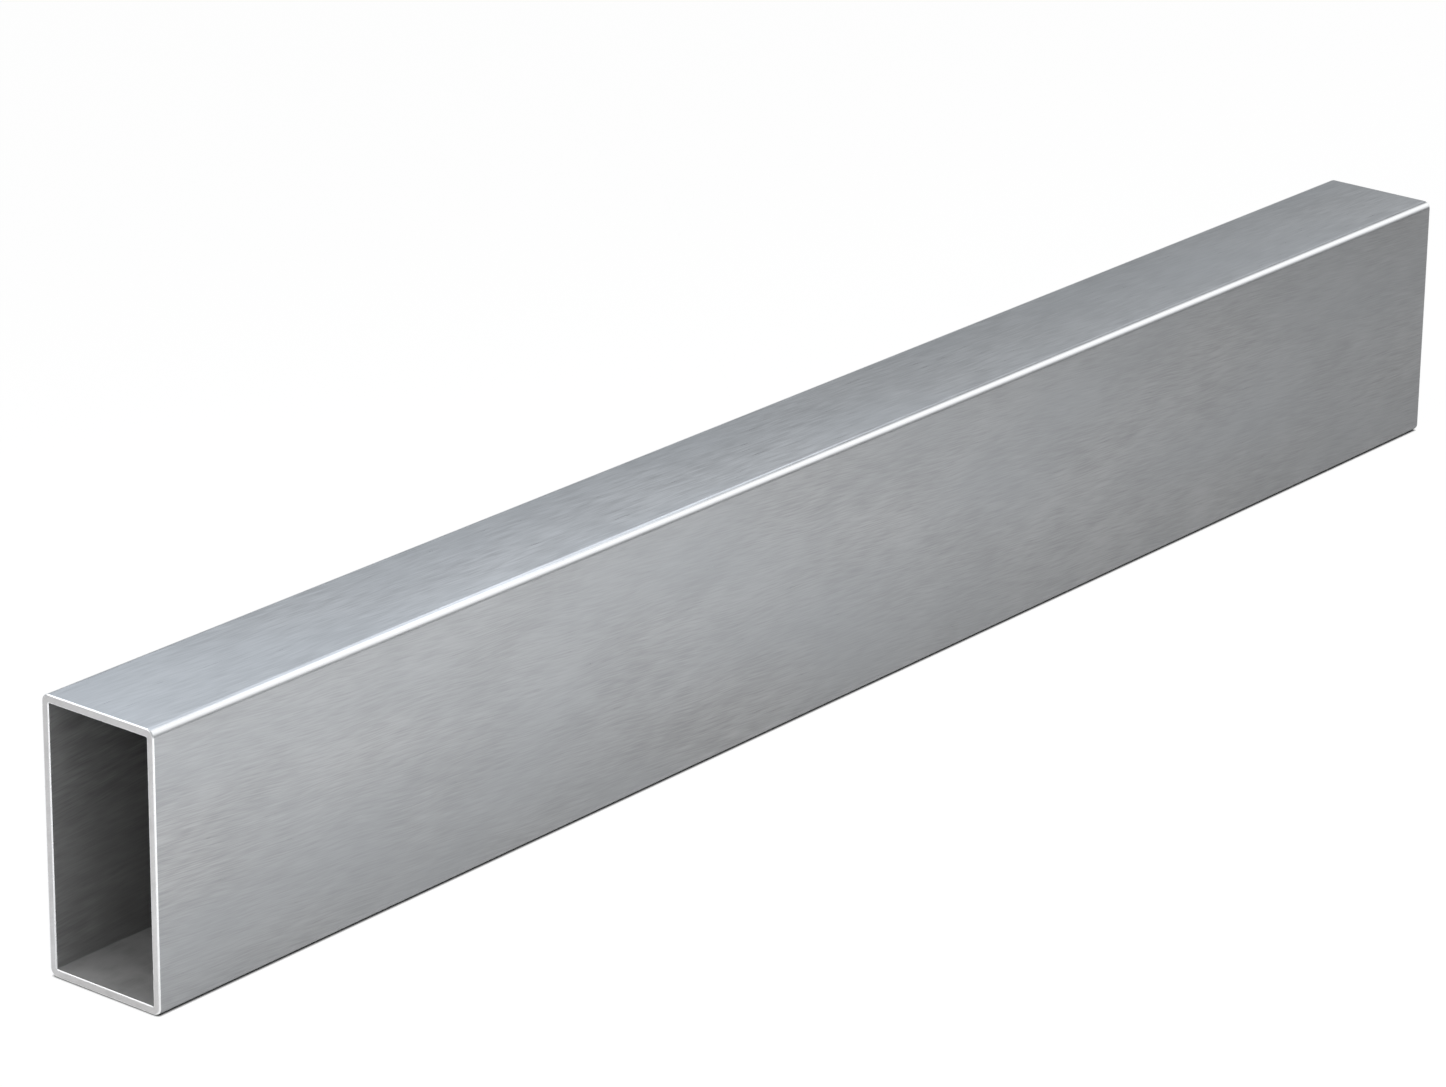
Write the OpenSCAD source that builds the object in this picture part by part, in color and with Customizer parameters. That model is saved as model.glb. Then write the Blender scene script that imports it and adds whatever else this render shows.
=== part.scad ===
// Aluminium post: one straight length of extruded rectangular hollow section,
// sawn square at both ends, with all the sawn edges broken.
// It lies on its narrow face: X runs along it, Y across it and Z up.
// The origin is in the middle of the face that it lies on. All sizes are in mm.

/* [Section] */
// Height of the section over its outside
section_height = 100; // [60:5:200]
// Width of the section over its outside
section_width = 50; // [30:5:100]
// Thickness of all four walls
wall = 3; // [2:0.5:6]
// Radius of the outside corners
outer_radius = 3; // [1:0.5:4]
// Radius of the inside corners
inner_radius = 0.5; // [0.5:0.25:2]

/* [Length] */
// Length over both sawn ends
length = 750; // [200:50:6000]

/* [Sawn ends] */
// Edge break round the outside of each end, along each face that it meets
outer_break = 0.5; // [0.2:0.1:0.6]
// Edge break round the mouth of the hollow, along each face that it meets
inner_break = 0.5; // [0.2:0.1:0.6]

/* [Hidden] */
$fn = 96;
hollow_width = section_width - 2 * wall;
hollow_height = section_height - 2 * wall;
// How far a cut runs past the surfaces that it opens
overrun = 0.1;
aluminium = [0.71, 0.72, 0.74];

// A rectangle with round corners, centred on the origin
module rounded_rectangle(width, height, radius) {
    square([width, height - 2 * radius], center = true);
    square([width - 2 * radius, height], center = true);
    for (x = [-1, 1], y = [-1, 1])
        translate([x * (width / 2 - radius), y * (height / 2 - radius)])
            circle(r = radius);
}

// The shape of the die: the outline with the hollow in it
module section() {
    difference() {
        rounded_rectangle(section_width, section_height, outer_radius);
        rounded_rectangle(hollow_width, hollow_height, inner_radius);
    }
}

// Carries a profile once round a rounded rectangle: four straight runs and four corners.
// The profile's X points out of the rectangle and its Y along the post.
module sweep_round(width, height, radius) {
    for (turn = [0 : 3]) {
        facing = (turn % 2 == 0 ? width : height) / 2 - radius;
        along = (turn % 2 == 0 ? height : width) / 2 - radius;
        rotate(90 * turn) {
            translate([facing + radius, 0, 0])
                rotate([90, 0, 0])
                    linear_extrude(2 * along, center = true)
                        children();
            translate([facing, along, 0])
                rotate_extrude(angle = 90)
                    translate([radius, 0])
                        children();
        }
    }
}

// Profile of a 45 degree edge break. The edge is at the origin, with the material
// below it and to its left.
module break_profile(size) {
    reach = size + overrun;
    polygon([[-reach, overrun], [overrun, -reach], [overrun, overrun]]);
}

// The two edge breaks of one sawn end, for an end face in the plane Z = 0
module end_breaks() {
    sweep_round(section_width, section_height, outer_radius)
        break_profile(outer_break);
    sweep_round(hollow_width, hollow_height, inner_radius)
        mirror([1, 0])
            break_profile(inner_break);
}

// The finished post
module post() {
    color(aluminium)
        translate([0, 0, section_height / 2])
            rotate([90, 0, 90])
                difference() {
                    linear_extrude(length, center = true)
                        section();
                    for (end = [0, 1])
                        mirror([0, 0, end])
                            translate([0, 0, length / 2])
                                end_breaks();
                }
}

post();
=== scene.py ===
"""The looks of an aluminium post: a length of brushed rectangular hollow section with sawn ends.

Everything is in metres in the post's own frame: X along it, Y across it and Z up from the floor.
"""
import math

import bpy
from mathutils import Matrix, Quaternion, Vector


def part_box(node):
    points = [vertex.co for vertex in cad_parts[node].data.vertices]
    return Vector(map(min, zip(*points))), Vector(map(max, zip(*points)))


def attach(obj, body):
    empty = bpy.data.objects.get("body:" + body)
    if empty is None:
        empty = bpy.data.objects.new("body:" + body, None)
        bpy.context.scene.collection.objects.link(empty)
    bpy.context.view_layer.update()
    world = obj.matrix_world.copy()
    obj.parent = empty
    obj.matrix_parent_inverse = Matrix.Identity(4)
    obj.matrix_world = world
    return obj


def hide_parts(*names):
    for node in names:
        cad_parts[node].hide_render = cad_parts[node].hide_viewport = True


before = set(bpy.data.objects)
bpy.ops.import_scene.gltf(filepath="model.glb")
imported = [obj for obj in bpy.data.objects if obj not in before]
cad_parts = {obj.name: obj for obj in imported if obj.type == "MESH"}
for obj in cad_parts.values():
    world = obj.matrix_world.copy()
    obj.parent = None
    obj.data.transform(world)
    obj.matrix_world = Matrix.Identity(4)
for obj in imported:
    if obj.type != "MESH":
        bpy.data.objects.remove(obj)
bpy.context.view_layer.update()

# Sizes of the post. Its outside comes from the post in model.glb.
LOW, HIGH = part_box("post")
LENGTH, WIDTH, HEIGHT = HIGH - LOW
AXIS_HEIGHT = (LOW.z + HIGH.z) / 2
WALL = 0.003
OUTER_RADIUS = 0.003
INNER_RADIUS = 0.0005
OUTER_BREAK = 0.0005
INNER_BREAK = 0.0005

# Quads round each long corner, and across each broken edge
CORNER_STEPS = 12
BREAK_STEPS = 4

# The post's materials, in the order of their slots
BRUSHED, EDGE, SAWN, BORE = range(4)

# Colours, from the darkest to the lightest where there are two
FACE_TONES = (0.31, 0.31, 0.312, 1), (0.42, 0.42, 0.422, 1)
FACE_TINT = (0.36, 0.37, 0.382, 1)
# Near white for the upper long corners' band: partly wear, partly a painted highlight
WEAR_AND_HIGHLIGHT_COLOUR = (0.97, 0.97, 0.97, 1)
EDGE_TONES = (0.83, 0.825, 0.82, 1), (0.93, 0.925, 0.92, 1)
SAWN_TONES = (0.645, 0.63, 0.622, 1), (0.735, 0.72, 0.712, 1)
BORE_TONES = (0.245, 0.242, 0.239, 1), (0.425, 0.421, 0.416, 1)
BORE_TINT = (0.33, 0.327, 0.323, 1)
DUST = (0.47, 0.465, 0.46, 1)
FLOOR_GREY = (0.9, 0.9, 0.9, 1)
WHITE = (1, 1, 1, 1)
STUDIO_AIR = (0.965, 1.0, 1.035, 1)

# Roughness, from the smoothest to the roughest
FACE_ROUGHNESS = 0.27, 0.35
EDGE_ROUGHNESS = 0.24, 0.34
SAWN_ROUGHNESS = 0.40, 0.55
BORE_ROUGHNESS = 0.50, 0.60
SMOOTHED_IN_HIGHLIGHT_WEAR = 0.03

# How metallic the bore shows, clean and under its dust
BORE_METALLIC = 0.66, 0.40

# How much of the bore's floor the dust covers, where it is thinnest and thickest
DUST_SHARE = 0.3, 0.9

# The brushing's marks, each with its length and its width. The finest lean off the post's axis.
FINE_STROKE = 0.014, 0.0004
MIDDLE_STROKE = 0.016, 0.0012
BROAD_BAND = 0.016, 0.0045
CLOUD = 0.040, 0.022
TINT_PATCH = 0.11, 0.05
SWAY_WAVE = 0.06, 0.02
SWAY = 0.004
BRUSH_LEAN = math.radians(4.5)
MIDDLE_LEAN = 0.4 * BRUSH_LEAN

# The shares of fine strokes, middle strokes, broad bands and clouds
FACE_MARKS = 0.49, 0.16, 0.13, 0.22
BORE_MARKS = 0.32, 0.20, 0.20, 0.28

# How much sharper the strokes are on the outside where it faces up, and how strong the tint's patches are
SHARPER_ABOVE = 0.25
TINT_SHARE = 0.5

# The upper long corners' bright band, partly wear and partly a painted highlight, begun past the flat top
# and faded out towards the flat side
HIGHLIGHT_WEAR_FRONT, HIGHLIGHT_WEAR_BACK = 0.0011, 0.0002
HIGHLIGHT_WEAR_COMES_IN = 0.0008
HIGHLIGHT_WEAR_LOWEST, HIGHLIGHT_WEAR_FULL = 0.0004, 0.0019
MIDDLE_BLEND = 0.001

# The saw's hub, above and behind the post
SAW_HUB = (0.0, 0.09, 0.19)

# Grains in each metre, for marks that have no direction and for the saw's arcs
ARC_SCALE = 1600.0
EDGE_MOTTLE_SCALE = 350.0
SAWN_MOTTLE_SCALE = 160.0
SMUDGE_SCALE = 90.0

# The depth of the strokes and of the saw's arcs, and how strongly they tilt the light
STROKE_DEPTH = 0.00002
ARC_DEPTH = 0.00003
RELIEF_STRENGTH = 0.3

# The part of a noise's values that is spread out: most of them, or a narrower part for more contrast
NOISE_RANGE = 0.3, 0.7
PATCH_RANGE = 0.35, 0.65
BRUSH_RANGE = 0.40, 0.60

# How far up a surface faces: from upright, by its normal's Z, to facing up
FACING_RANGE = 0.4, 0.9

# The photograph's view
CAMERA_AT = Vector((-1.5544, -1.2037, 0.7907))
CAMERA_AIM = Vector((-0.0225, 0.0279, 0.0498))
CAMERA_ROLL = math.radians(0.707)
CAMERA_LENS_MM = 141.25

# The floor's half width, and how near to the post it turns dark
FLOOR_REACH = 8.0
CONTACT_REACH = 0.0012


# Mesh

def walk_round(width, height, radius):
    """Goes once round a rounded rectangle across X, from the low corner on the +Y side, up and over.

    Returns (corner centre, direction out of the corner, distance gone) for each point. The last point
    is the first one again, with the whole way round as its distance.
    """
    points = []
    gone = 0.0
    last = None
    for turn, (side, lift) in enumerate(((1, -1), (1, 1), (-1, 1), (-1, -1))):
        centre = Vector((0, side * (width / 2 - radius), lift * (height / 2 - radius)))
        for step in range(CORNER_STEPS + 1):
            angle = math.pi / 2 * (turn - 1 + step / CORNER_STEPS)
            out = Vector((0, math.cos(angle), math.sin(angle)))
            here = centre + radius * out
            gone += (here - last).length if last else 0.0
            last = here
            points.append((centre, out, gone))
    centre, out, _ = points[0]
    points.append((centre, out, gone + (centre + radius * out - last).length))
    return points


def edge_line():
    """The closed line that is carried round the section: (inside or not, turn towards the end, end)."""
    turns = [math.pi / 2 * step / BREAK_STEPS for step in range(BREAK_STEPS + 1)]
    rim = [(False, turn) for turn in turns] + [(True, turn) for turn in reversed(turns)]
    far_end = [(inside, turn, 1) for inside, turn in rim]
    near_end = [(inside, turn, -1) for inside, turn in reversed(rim)]
    return far_end + near_end


def strip_material(here, after):
    """The material between two stations of the edge line."""
    (inside, _, end), (inside_after, _, end_after) = here, after
    if end != end_after:
        return BORE if inside else BRUSHED
    return SAWN if inside != inside_after else EDGE


def post_mesh(name):
    """The whole post as one closed sheet of quads, with exact normals."""
    walks = {
        False: walk_round(WIDTH, HEIGHT, OUTER_RADIUS),
        True: walk_round(WIDTH - 2 * WALL, HEIGHT - 2 * WALL, INNER_RADIUS),
    }
    radius = {False: OUTER_RADIUS, True: INNER_RADIUS}
    size = {False: OUTER_BREAK, True: INNER_BREAK}
    line = edge_line()
    count = len(line)
    around = len(walks[False]) - 1
    verts, normals = [], []
    for step in range(around):
        for inside, turn, end in line:
            centre, out, _ = walks[inside][step]
            facing = -1 if inside else 1
            inset = facing * size[inside] * (1 - math.cos(turn))
            x = end * (LENGTH / 2 - size[inside] * (1 - math.sin(turn)))
            place = centre + (radius[inside] - inset) * out
            verts.append((x, place.y, AXIS_HEIGHT + place.z))
            normals.append(Vector((end * math.sin(turn), 0, 0)) + facing * math.cos(turn) * out)
    faces, kinds, gone = [], [], []
    for step in range(around):
        for station in range(count):
            after = (station + 1) % count
            here, there = step * count, (step + 1) % around * count
            faces.append((here + station, there + station, there + after, here + after))
            kinds.append(strip_material(line[station], line[after]))
            walk = walks[line[station][0]]
            gone.append([walk[corner][2] for corner in (step, step + 1, step + 1, step)])
    mesh = bpy.data.meshes.new(name)
    mesh.from_pydata(verts, [], faces)
    mesh.polygons.foreach_set("material_index", kinds)
    mesh.polygons.foreach_set("use_smooth", [True] * len(faces))
    add_run_map(mesh, gone)
    mesh.normals_split_custom_set_from_vertices(normals)
    mesh.validate(clean_customdata=False)
    mesh.update()
    return mesh


def add_run_map(mesh, gone):
    """UV map in metres: along the post and round it on its walls, and flat from the end on its rims.

    gone has the distance round the section for each corner of each face.
    """
    run = mesh.uv_layers.new(name="run")
    for face in mesh.polygons:
        on_wall = face.material_index in (BRUSHED, BORE)
        for loop, distance in zip(face.loop_indices, gone[face.index]):
            x, y, z = mesh.vertices[mesh.loops[loop].vertex_index].co
            run.data[loop].uv = (x, distance) if on_wall else (y, z)


# Materials

def new_material(name):
    material = bpy.data.materials.new(name)
    material.use_nodes = True
    return material, material.node_tree, material.node_tree.nodes["Principled BSDF"]


def add(tree, kind, settings=None, **inputs):
    """Adds a node. An input is a value or another node's output."""
    made = tree.nodes.new("ShaderNode" + kind)
    for name, value in (settings or {}).items():
        setattr(made, name, value)
    for name, value in inputs.items():
        put(tree, made.inputs[name.replace("_", " ")], value)
    return made


def put(tree, socket, value):
    if isinstance(value, bpy.types.NodeSocket):
        tree.links.new(value, socket)
    else:
        socket.default_value = value


def calc(tree, operation, first, second=0.0):
    made = add(tree, "Math", {"operation": operation})
    put(tree, made.inputs[0], first)
    put(tree, made.inputs[1], second)
    return made.outputs[0]


def blend(tree, share, dark, light):
    """Mixes two colours, from dark at 0 to light at 1, with the colour sockets of a Mix node."""
    made = add(tree, "Mix", {"data_type": "RGBA"})
    put(tree, made.inputs[0], share)
    put(tree, made.inputs[6], dark)
    put(tree, made.inputs[7], light)
    return made.outputs[2]


def spread(tree, value, low, high, to_low=0.0, to_high=1.0):
    """Maps a value from the range low to high, and holds it within the new range."""
    made = add(tree, "MapRange", Value=value)
    for name, number in (("From Min", low), ("From Max", high), ("To Min", to_low), ("To Max", to_high)):
        made.inputs[name].default_value = number
    return made.outputs[0]


def weigh(tree, *pairs):
    """The sum of values, each times its weight."""
    parts = [calc(tree, "MULTIPLY", value, weight) for value, weight in pairs]
    total = parts[0]
    for part in parts[1:]:
        total = calc(tree, "ADD", total, part)
    return total


def stretched_noise(tree, vector, grain, seed, lean=0.0, detail=2.0):
    """Noise whose grains have a length and a width, leaning off the map's first axis."""
    length, width = grain
    place = add(
        tree, "Mapping", {"vector_type": "TEXTURE"},
        Vector=vector, Location=(0, 0, -seed), Rotation=(0, 0, lean), Scale=(length, width, 1),
    )
    noise = add(tree, "TexNoise", Vector=place.outputs[0], Scale=1.0, Detail=detail, Roughness=0.55)
    return noise.outputs["Fac"]


def wavy_run(tree):
    """The run map, and the same map swayed a little, so that strokes on it aren't ruler straight."""
    run = add(tree, "UVMap", {"uv_map": "run"}).outputs[0]
    sway = stretched_noise(tree, run, SWAY_WAVE, seed=7.3, detail=1.0)
    shift = calc(tree, "MULTIPLY", calc(tree, "SUBTRACT", sway, 0.5), SWAY)
    parts = add(tree, "SeparateXYZ", Vector=run)
    swayed = add(tree, "CombineXYZ", X=parts.outputs[0], Y=calc(tree, "ADD", parts.outputs[1], shift))
    return run, swayed.outputs[0]


def corner_wear_and_highlight(tree):
    """How much of the two upper long corners' bright band, partly wear and partly a painted highlight,
    there is: 0 on the flats and 1 in the round, wider at the back.
    """
    place = add(tree, "SeparateXYZ", Vector=add(tree, "TexCoord").outputs["Object"])
    off_middle = calc(tree, "ABSOLUTE", place.outputs["Y"])
    past_flat = calc(tree, "SUBTRACT", off_middle, WIDTH / 2 - OUTER_RADIUS)
    begins = spread(tree, place.outputs["Y"], -MIDDLE_BLEND, MIDDLE_BLEND, HIGHLIGHT_WEAR_FRONT, HIGHLIGHT_WEAR_BACK)
    above_flat = calc(tree, "SUBTRACT", place.outputs["Z"], HIGH.z - OUTER_RADIUS)
    from_top = spread(tree, calc(tree, "SUBTRACT", past_flat, begins), 0.0, HIGHLIGHT_WEAR_COMES_IN)
    return calc(tree, "MINIMUM", from_top, spread(tree, above_flat, HIGHLIGHT_WEAR_LOWEST, HIGHLIGHT_WEAR_FULL))


def facing_up(tree):
    """1 on what faces up and 0 on upright faces."""
    facing = add(tree, "SeparateXYZ", Vector=add(tree, "TexCoord").outputs["Normal"])
    return spread(tree, facing.outputs["Z"], *FACING_RANGE)


def brushed_colour(tree, shares, tones, tint, sharper_above=0.0):
    """Colour and strokes of metal brushed nearly along the post.

    The shares are those of fine and middle strokes, broad bands and soft clouds. Faces that face up can
    have sharper strokes than the rest.
    """
    run, swayed = wavy_run(tree)
    fine = stretched_noise(tree, swayed, FINE_STROKE, seed=1.0, lean=BRUSH_LEAN)
    middle = stretched_noise(tree, swayed, MIDDLE_STROKE, seed=2.0, lean=MIDDLE_LEAN)
    broad = stretched_noise(tree, swayed, BROAD_BAND, seed=3.0)
    cloud = stretched_noise(tree, run, CLOUD, seed=4.0, detail=3.0)
    hue = stretched_noise(tree, run, TINT_PATCH, seed=5.0, detail=1.0)
    tone = weigh(tree, *zip((fine, middle, broad, cloud), shares))
    strokes = weigh(tree, (fine, 0.5), (middle, 0.5))
    above = calc(tree, "MULTIPLY", facing_up(tree), sharper_above)
    tone = calc(tree, "ADD", tone, calc(tree, "MULTIPLY", calc(tree, "SUBTRACT", strokes, 0.5), above))
    colour = blend(tree, spread(tree, tone, *BRUSH_RANGE), *tones)
    colour = blend(tree, spread(tree, hue, *NOISE_RANGE, 0.0, TINT_SHARE), colour, tint)
    return colour, strokes


def relief(tree, shader, height, depth):
    """Fine marks that only tilt the light."""
    bump = add(tree, "Bump", Strength=RELIEF_STRENGTH, Distance=depth, Height=height)
    put(tree, shader.inputs["Normal"], bump.outputs[0])


def brushed_face(name):
    """The outside: brushed, with a bright band along the upper corners that is partly wear and partly a
    painted highlight.
    """
    material, tree, shader = new_material(name)
    colour, strokes = brushed_colour(tree, FACE_MARKS, FACE_TONES, FACE_TINT, sharper_above=SHARPER_ABOVE)
    wear_and_highlight = corner_wear_and_highlight(tree)
    # Painted highlight, partly wear: the upper corners' band is mixed towards near white
    put(tree, shader.inputs["Base Color"], blend(tree, wear_and_highlight, colour, WEAR_AND_HIGHLIGHT_COLOUR))
    roughness = spread(tree, strokes, *NOISE_RANGE, *FACE_ROUGHNESS)
    smoothed = calc(tree, "MULTIPLY", wear_and_highlight, SMOOTHED_IN_HIGHLIGHT_WEAR)
    put(tree, shader.inputs["Roughness"], calc(tree, "SUBTRACT", roughness, smoothed))
    shader.inputs["Metallic"].default_value = 1.0
    relief(tree, shader, strokes, STROKE_DEPTH)
    return material


def bright_edge(name):
    """The broken edges: fresh metal left by the deburring tool."""
    material, tree, shader = new_material(name)
    place = add(tree, "TexCoord").outputs["Object"]
    mottle = add(tree, "TexNoise", Vector=place, Scale=EDGE_MOTTLE_SCALE, Detail=2.0).outputs["Fac"]
    put(tree, shader.inputs["Base Color"], blend(tree, mottle, *EDGE_TONES))
    put(tree, shader.inputs["Roughness"], spread(tree, mottle, *NOISE_RANGE, *EDGE_ROUGHNESS))
    shader.inputs["Metallic"].default_value = 1.0
    return material


def distance_from_hub(tree, place):
    """How far a place is from the saw's hub, seen along the post."""
    moved = add(tree, "VectorMath", {"operation": "SUBTRACT"})
    put(tree, moved.inputs[0], place)
    moved.inputs[1].default_value = SAW_HUB
    parts = add(tree, "SeparateXYZ", Vector=moved.outputs[0])
    flat = add(tree, "CombineXYZ", X=0.0, Y=parts.outputs[1], Z=parts.outputs[2])
    reach = add(tree, "VectorMath", {"operation": "LENGTH"})
    put(tree, reach.inputs[0], flat.outputs[0])
    return reach.outputs["Value"]


def sawn_metal(name):
    """The sawn face: arcs left by the blade's teeth, and a soft mottle."""
    material, tree, shader = new_material(name)
    place = add(tree, "TexCoord").outputs["Object"]
    hub_distance = distance_from_hub(tree, place)
    arcs = add(tree, "TexNoise", {"noise_dimensions": "1D"}, W=hub_distance, Scale=ARC_SCALE, Detail=2.0)
    arcs = arcs.outputs["Fac"]
    mottle = add(tree, "TexNoise", Vector=place, Scale=SAWN_MOTTLE_SCALE, Detail=3.0).outputs["Fac"]
    tone = weigh(tree, (arcs, 0.4), (mottle, 0.6))
    put(tree, shader.inputs["Base Color"], blend(tree, spread(tree, tone, *PATCH_RANGE), *SAWN_TONES))
    put(tree, shader.inputs["Roughness"], spread(tree, arcs, *NOISE_RANGE, *SAWN_ROUGHNESS))
    shader.inputs["Metallic"].default_value = 1.0
    relief(tree, shader, arcs, ARC_DEPTH)
    return material


def bore(name):
    """The inside: duller, with fine dust settled on its floor."""
    material, tree, shader = new_material(name)
    colour, strokes = brushed_colour(tree, BORE_MARKS, BORE_TONES, BORE_TINT)
    dust = facing_up(tree)
    place = add(tree, "TexCoord").outputs["Object"]
    smudges = add(tree, "TexNoise", Vector=place, Scale=SMUDGE_SCALE, Detail=3.0)
    thickness = spread(tree, smudges.outputs["Fac"], *PATCH_RANGE, *DUST_SHARE)
    dusty = blend(tree, calc(tree, "MULTIPLY", dust, thickness), colour, DUST)
    put(tree, shader.inputs["Base Color"], dusty)
    put(tree, shader.inputs["Roughness"], spread(tree, strokes, *NOISE_RANGE, *BORE_ROUGHNESS))
    put(tree, shader.inputs["Metallic"], spread(tree, dust, 0.0, 1.0, *BORE_METALLIC))
    relief(tree, shader, strokes, STROKE_DEPTH)
    return material


def make_post():
    post = bpy.data.objects.new("aluminium_post", post_mesh("aluminium_post"))
    bpy.context.scene.collection.objects.link(post)
    post.data.materials.append(brushed_face("brushed_face"))
    post.data.materials.append(bright_edge("broken_edge"))
    post.data.materials.append(sawn_metal("sawn_end"))
    post.data.materials.append(bore("bore"))
    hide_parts("post")
    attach(post, "root")
    return post


# Studio

def make_camera():
    data = bpy.data.cameras.new("camera")
    data.lens = CAMERA_LENS_MM
    camera = bpy.data.objects.new("camera", data)
    camera.location = CAMERA_AT
    camera.rotation_mode = "QUATERNION"
    level = (CAMERA_AIM - CAMERA_AT).to_track_quat("-Z", "Y")
    camera.rotation_quaternion = level @ Quaternion((0, 0, 1), CAMERA_ROLL)
    bpy.context.scene.collection.objects.link(camera)
    bpy.context.scene.camera = camera


def softbox(name, at, aim, size, watts, colour=(1, 1, 1)):
    """A panel of light that the camera itself doesn't see."""
    data = bpy.data.lights.new(name, "AREA")
    data.shape = "RECTANGLE"
    data.size, data.size_y = size
    data.energy = watts
    data.color = colour
    lamp = bpy.data.objects.new(name, data)
    lamp.location = at
    lamp.rotation_mode = "QUATERNION"
    lamp.rotation_quaternion = (Vector(aim) - Vector(at)).to_track_quat("-Z", "Y")
    lamp.visible_camera = False
    bpy.context.scene.collection.objects.link(lamp)
    return lamp


def level_by_ray(tree, plain, metal, diffuse):
    """A level each for what the camera sees, for what metal and glass show, and for the light on things."""
    path = add(tree, "LightPath")
    mirrored = calc(tree, "MAXIMUM", path.outputs["Is Glossy Ray"], path.outputs["Is Transmission Ray"])
    seen = weigh(tree, (path.outputs["Is Camera Ray"], plain - diffuse), (mirrored, metal - diffuse))
    return calc(tree, "ADD", seen, diffuse)


def make_world():
    world = bpy.data.worlds.new("studio")
    world.use_nodes = True
    bpy.context.scene.world = world
    tree = world.node_tree
    background = tree.nodes["Background"]
    background.inputs["Color"].default_value = STUDIO_AIR
    put(tree, background.inputs["Strength"], level_by_ray(tree, plain=1.0, metal=0.50, diffuse=0.12))


def make_floor():
    """A matt floor mixed with plain white, except close under the post, where it stays dark."""
    mesh = bpy.data.meshes.new("floor")
    corners = [(x * FLOOR_REACH, y * FLOOR_REACH, 0) for x, y in ((-1, -1), (1, -1), (1, 1), (-1, 1))]
    mesh.from_pydata(corners, [], [(0, 1, 2, 3)])
    floor = bpy.data.objects.new("floor", mesh)
    bpy.context.scene.collection.objects.link(floor)
    material, tree, shader = new_material("floor")
    shader.inputs["Base Color"].default_value = FLOOR_GREY
    shader.inputs["Roughness"].default_value = 1.0
    shader.inputs["Specular IOR Level"].default_value = 0.0
    open_sky = add(tree, "AmbientOcclusion", {"samples": 8}, Distance=CONTACT_REACH).outputs["AO"]
    white = add(tree, "Emission", Color=WHITE, Strength=spread(tree, open_sky, 0.3, 0.9, 0.0, 1.03))
    mixed = add(tree, "MixShader")
    put(tree, mixed.inputs[0], level_by_ray(tree, plain=0.95, metal=0.2, diffuse=0.0))
    put(tree, mixed.inputs[1], shader.outputs[0])
    put(tree, mixed.inputs[2], white.outputs[0])
    put(tree, tree.nodes["Material Output"].inputs["Surface"], mixed.outputs[0])
    floor.data.materials.append(material)


def make_lamps():
    """Large dim panels over and behind the post, and a fill that only lights the floor in front of it."""
    softbox("overhead", at=(0.61, -0.225, 0.38), aim=(0.61, -0.025, 0.1), size=(1.65, 0.57), watts=1.66)
    fill = softbox(
        "front_fill", at=(-0.335, -0.355, 0.251), aim=(-0.333, -0.348, 0.0), size=(1.198, 0.519),
        watts=3.75, colour=(0.98, 1.0, 1.02),
    )
    fill.visible_glossy = False
    softbox(
        "back_near", at=(-0.081, 0.232, 0.422), aim=(-0.256, 0.0, 0.1), size=(0.711, 0.34),
        watts=1.116, colour=(0.92, 1.0, 1.10),
    )
    softbox(
        "back_far", at=(0.347, 0.121, 0.281), aim=(0.347, 0.0, 0.1), size=(0.805, 0.123),
        watts=0.24, colour=(0.95, 1.0, 1.06),
    )
    softbox("back_left", at=(-0.8, 0.7, 0.97), aim=(-0.375, 0.0, 0.1), size=(0.6, 0.6), watts=1.0)
    softbox(
        "left", at=(-0.85, 0.32, 0.5), aim=(-0.45, 0.05, 0.0), size=(0.7, 0.5),
        watts=1.5, colour=(1.0, 0.99, 0.98),
    )


make_camera()
make_post()
make_floor()
make_world()
make_lamps()
bpy.context.scene.view_settings.view_transform = "Standard"
